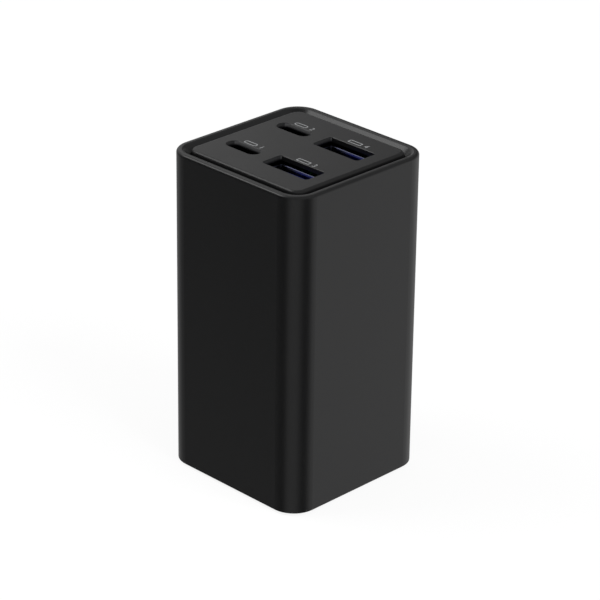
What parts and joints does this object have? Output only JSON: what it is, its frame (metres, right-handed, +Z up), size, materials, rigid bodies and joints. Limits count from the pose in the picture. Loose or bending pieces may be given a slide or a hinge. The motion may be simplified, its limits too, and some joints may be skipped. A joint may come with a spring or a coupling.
{
  "type": "multi port usb charger",
  "caption": "Square desktop charging tower with rounded corners, a recessed port plate with outlet ports on top and a mains inlet low on its back.",
  "frame": {"origin": "middle of the foot pad's underside", "axes": "+Z up, -Y towards the front as the ports are read, +X to the right"},
  "size_m": [0.04, 0.04, 0.0748],
  "materials": {
    "housing_plastic": "fine matt moulded texture",
    "plate_plastic": "fine matt moulded texture",
    "foot_rubber": "matt",
    "inlet_plastic": "satin",
    "pin_metal": "nickel plated",
    "shell_metal": "nickel plated",
    "blue_plastic": "satin",
    "black_plastic": "satin",
    "contact_gold": "gold plated",
    "circuit_board": "solder mask",
    "screw_steel": "zinc plated",
    "chip_black": "moulded",
    "ferrite": "ground ceramic",
    "copper_wire": "enamelled",
    "winding_tape": "polyester tape",
    "film_case": "boxed film",
    "can_sleeve": "shrink sleeve",
    "can_metal": "bare can",
    "disc_coating": "epoxy dip",
    "thermistor_coating": "epoxy dip",
    "spreader_metal": "rolled sheet",
    "insulation_film": "plastic film",
    "thermal_pad": "soft"
  },
  "bodies": {
    "root": {"sleeve": "housing_plastic", "port_plate": "plate_plastic", "base_cover": "housing_plastic", "foot_pad": "foot_rubber", "inlet_housing": "inlet_plastic", "inlet_pin_left": "pin_metal", "inlet_pin_right": "pin_metal", "usb_a_shell_front": "shell_metal", "usb_a_shell_rear": "shell_metal", "usb_a_tongue_front": "blue_plastic", "usb_a_tongue_rear": "blue_plastic", "usb_a_contacts_front": "contact_gold", "usb_a_contacts_rear": "contact_gold", "usb_c_shell_front": "shell_metal", "usb_c_shell_rear": "shell_metal", "usb_c_tongue_front": "black_plastic", "usb_c_tongue_rear": "black_plastic", "usb_c_contacts_front": "contact_gold", "usb_c_contacts_rear": "contact_gold", "port_board": "circuit_board", "port_board_screws": "screw_steel", "port_controllers": "chip_black", "port_inductors": "ferrite", "input_board": "circuit_board", "fuse": "black_plastic", "inrush_thermistor": "thermistor_coating", "film_capacitor": "film_case", "choke_core": "ferrite", "choke_winding_left": "copper_wire", "choke_winding_right": "copper_wire", "main_board": "circuit_board", "bridge_rectifier": "chip_black", "power_switch": "chip_black", "disc_capacitor": "disc_coating", "bulk_capacitor_left": "can_sleeve", "bulk_capacitor_right": "can_sleeve", "transformer_core_lower": "ferrite", "transformer_core_upper": "ferrite", "transformer_bobbin": "black_plastic", "transformer_winding": "winding_tape", "output_board": "circuit_board", "output_capacitors": "can_metal", "output_inductors": "ferrite", "rectifier_switches": "chip_black", "front_heat_spreader": "spreader_metal", "rear_heat_spreader": "spreader_metal", "insulation_wrap": "insulation_film", "rear_insulation": "insulation_film", "front_thermal_pads": "thermal_pad", "rear_thermal_pads": "thermal_pad"}
  },
  "joints": []
}
